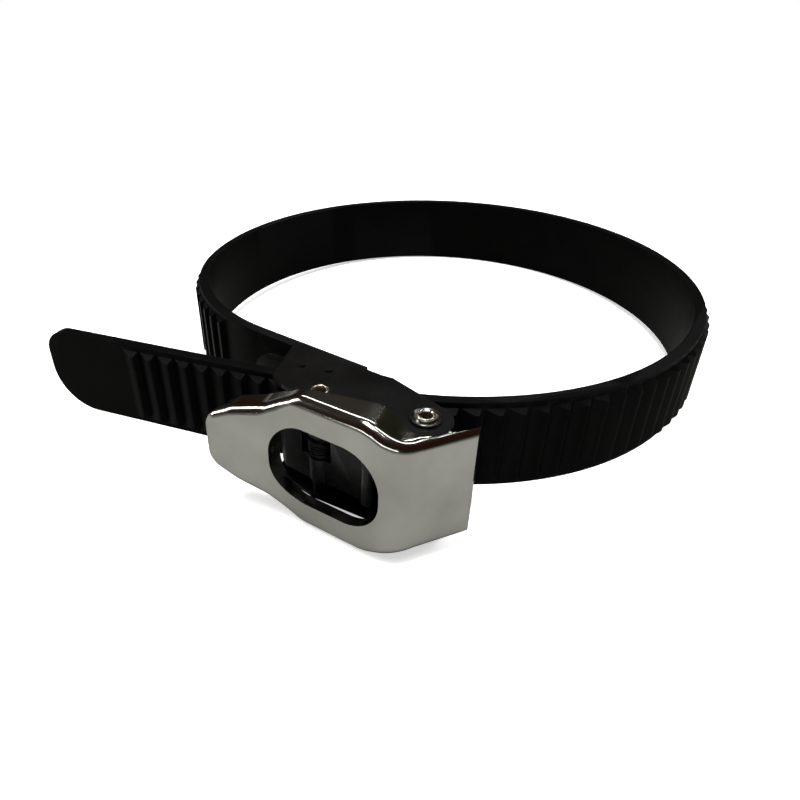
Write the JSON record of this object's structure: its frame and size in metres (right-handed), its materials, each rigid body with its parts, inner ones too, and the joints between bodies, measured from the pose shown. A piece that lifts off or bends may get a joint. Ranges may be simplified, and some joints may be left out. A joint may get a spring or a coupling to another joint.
{
  "type": "strap wrench",
  "caption": "Toothed ladder strap closed into a loop by a metal ratchet lever buckle, which tightens it round a round thing.",
  "frame": {"origin": "centre of the strap's loop, at the middle of the strap's width", "axes": "+Z along the loop's axis, the buckle on the -Y side, the strap's free end towards -X"},
  "size_m": [0.1802, 0.1885, 0.0384],
  "materials": {
    "strap_black": "satin moulded",
    "base_black": "gloss black",
    "lever_chrome": "polished",
    "pawl_steel": "zinc plated",
    "pawl_black": "satin black",
    "spring_steel": "drawn wire",
    "rivet_steel": "nickel plated",
    "washer_steel": "dark nickel",
    "sleeve_steel": "turned"
  },
  "bodies": {
    "base": {"ladder_strap": "strap_black", "base_frame": "base_black", "holding_pawl_spring": "spring_steel", "main_pivot_rivet": "rivet_steel", "holding_pawl_rivet": "rivet_steel", "main_pivot_washer_top": "washer_steel", "main_pivot_washer_bottom": "washer_steel", "holding_pawl_sleeve": "sleeve_steel", "guide_pin_rear": "rivet_steel", "guide_pin_front": "rivet_steel", "strap_rivet_rear": "rivet_steel", "strap_rivet_front": "rivet_steel", "strap_rivet_washer_rear": "washer_steel", "strap_rivet_washer_front": "washer_steel"},
    "lever": {"lever": "lever_chrome", "drive_pawl_pin": "rivet_steel", "pivot_sleeve": "sleeve_steel", "drive_pawl_spring": "spring_steel"},
    "drive_pawl": {"drive_pawl": "pawl_steel"},
    "holding_pawl": {"holding_pawl": "pawl_black"}
  },
  "joints": [
    {"name": "lever_pivot", "type": "hinge", "parent": "base", "child": "lever", "pos_m": [0.0188, -0.0906, 0], "axis": [0, 0, 1], "range_deg": [0, 56]},
    {"name": "drive_pawl_pivot", "type": "hinge", "parent": "lever", "child": "drive_pawl", "pos_m": [0.0204, -0.08502, 0], "axis": [0, 0, 1], "range_deg": [-48, 0]},
    {"name": "holding_pawl_pivot", "type": "hinge", "parent": "base", "child": "holding_pawl", "pos_m": [-0.008, -0.0879, 0], "axis": [0, 0, 1], "range_deg": [0, 11], "stiffness_Nm_per_rad": 0.02, "springref_deg": -20.05}
  ],
  "couplings": [
    {"joint": "drive_pawl_pivot", "follows": "lever_pivot", "ratio": -0.85}
  ]
}
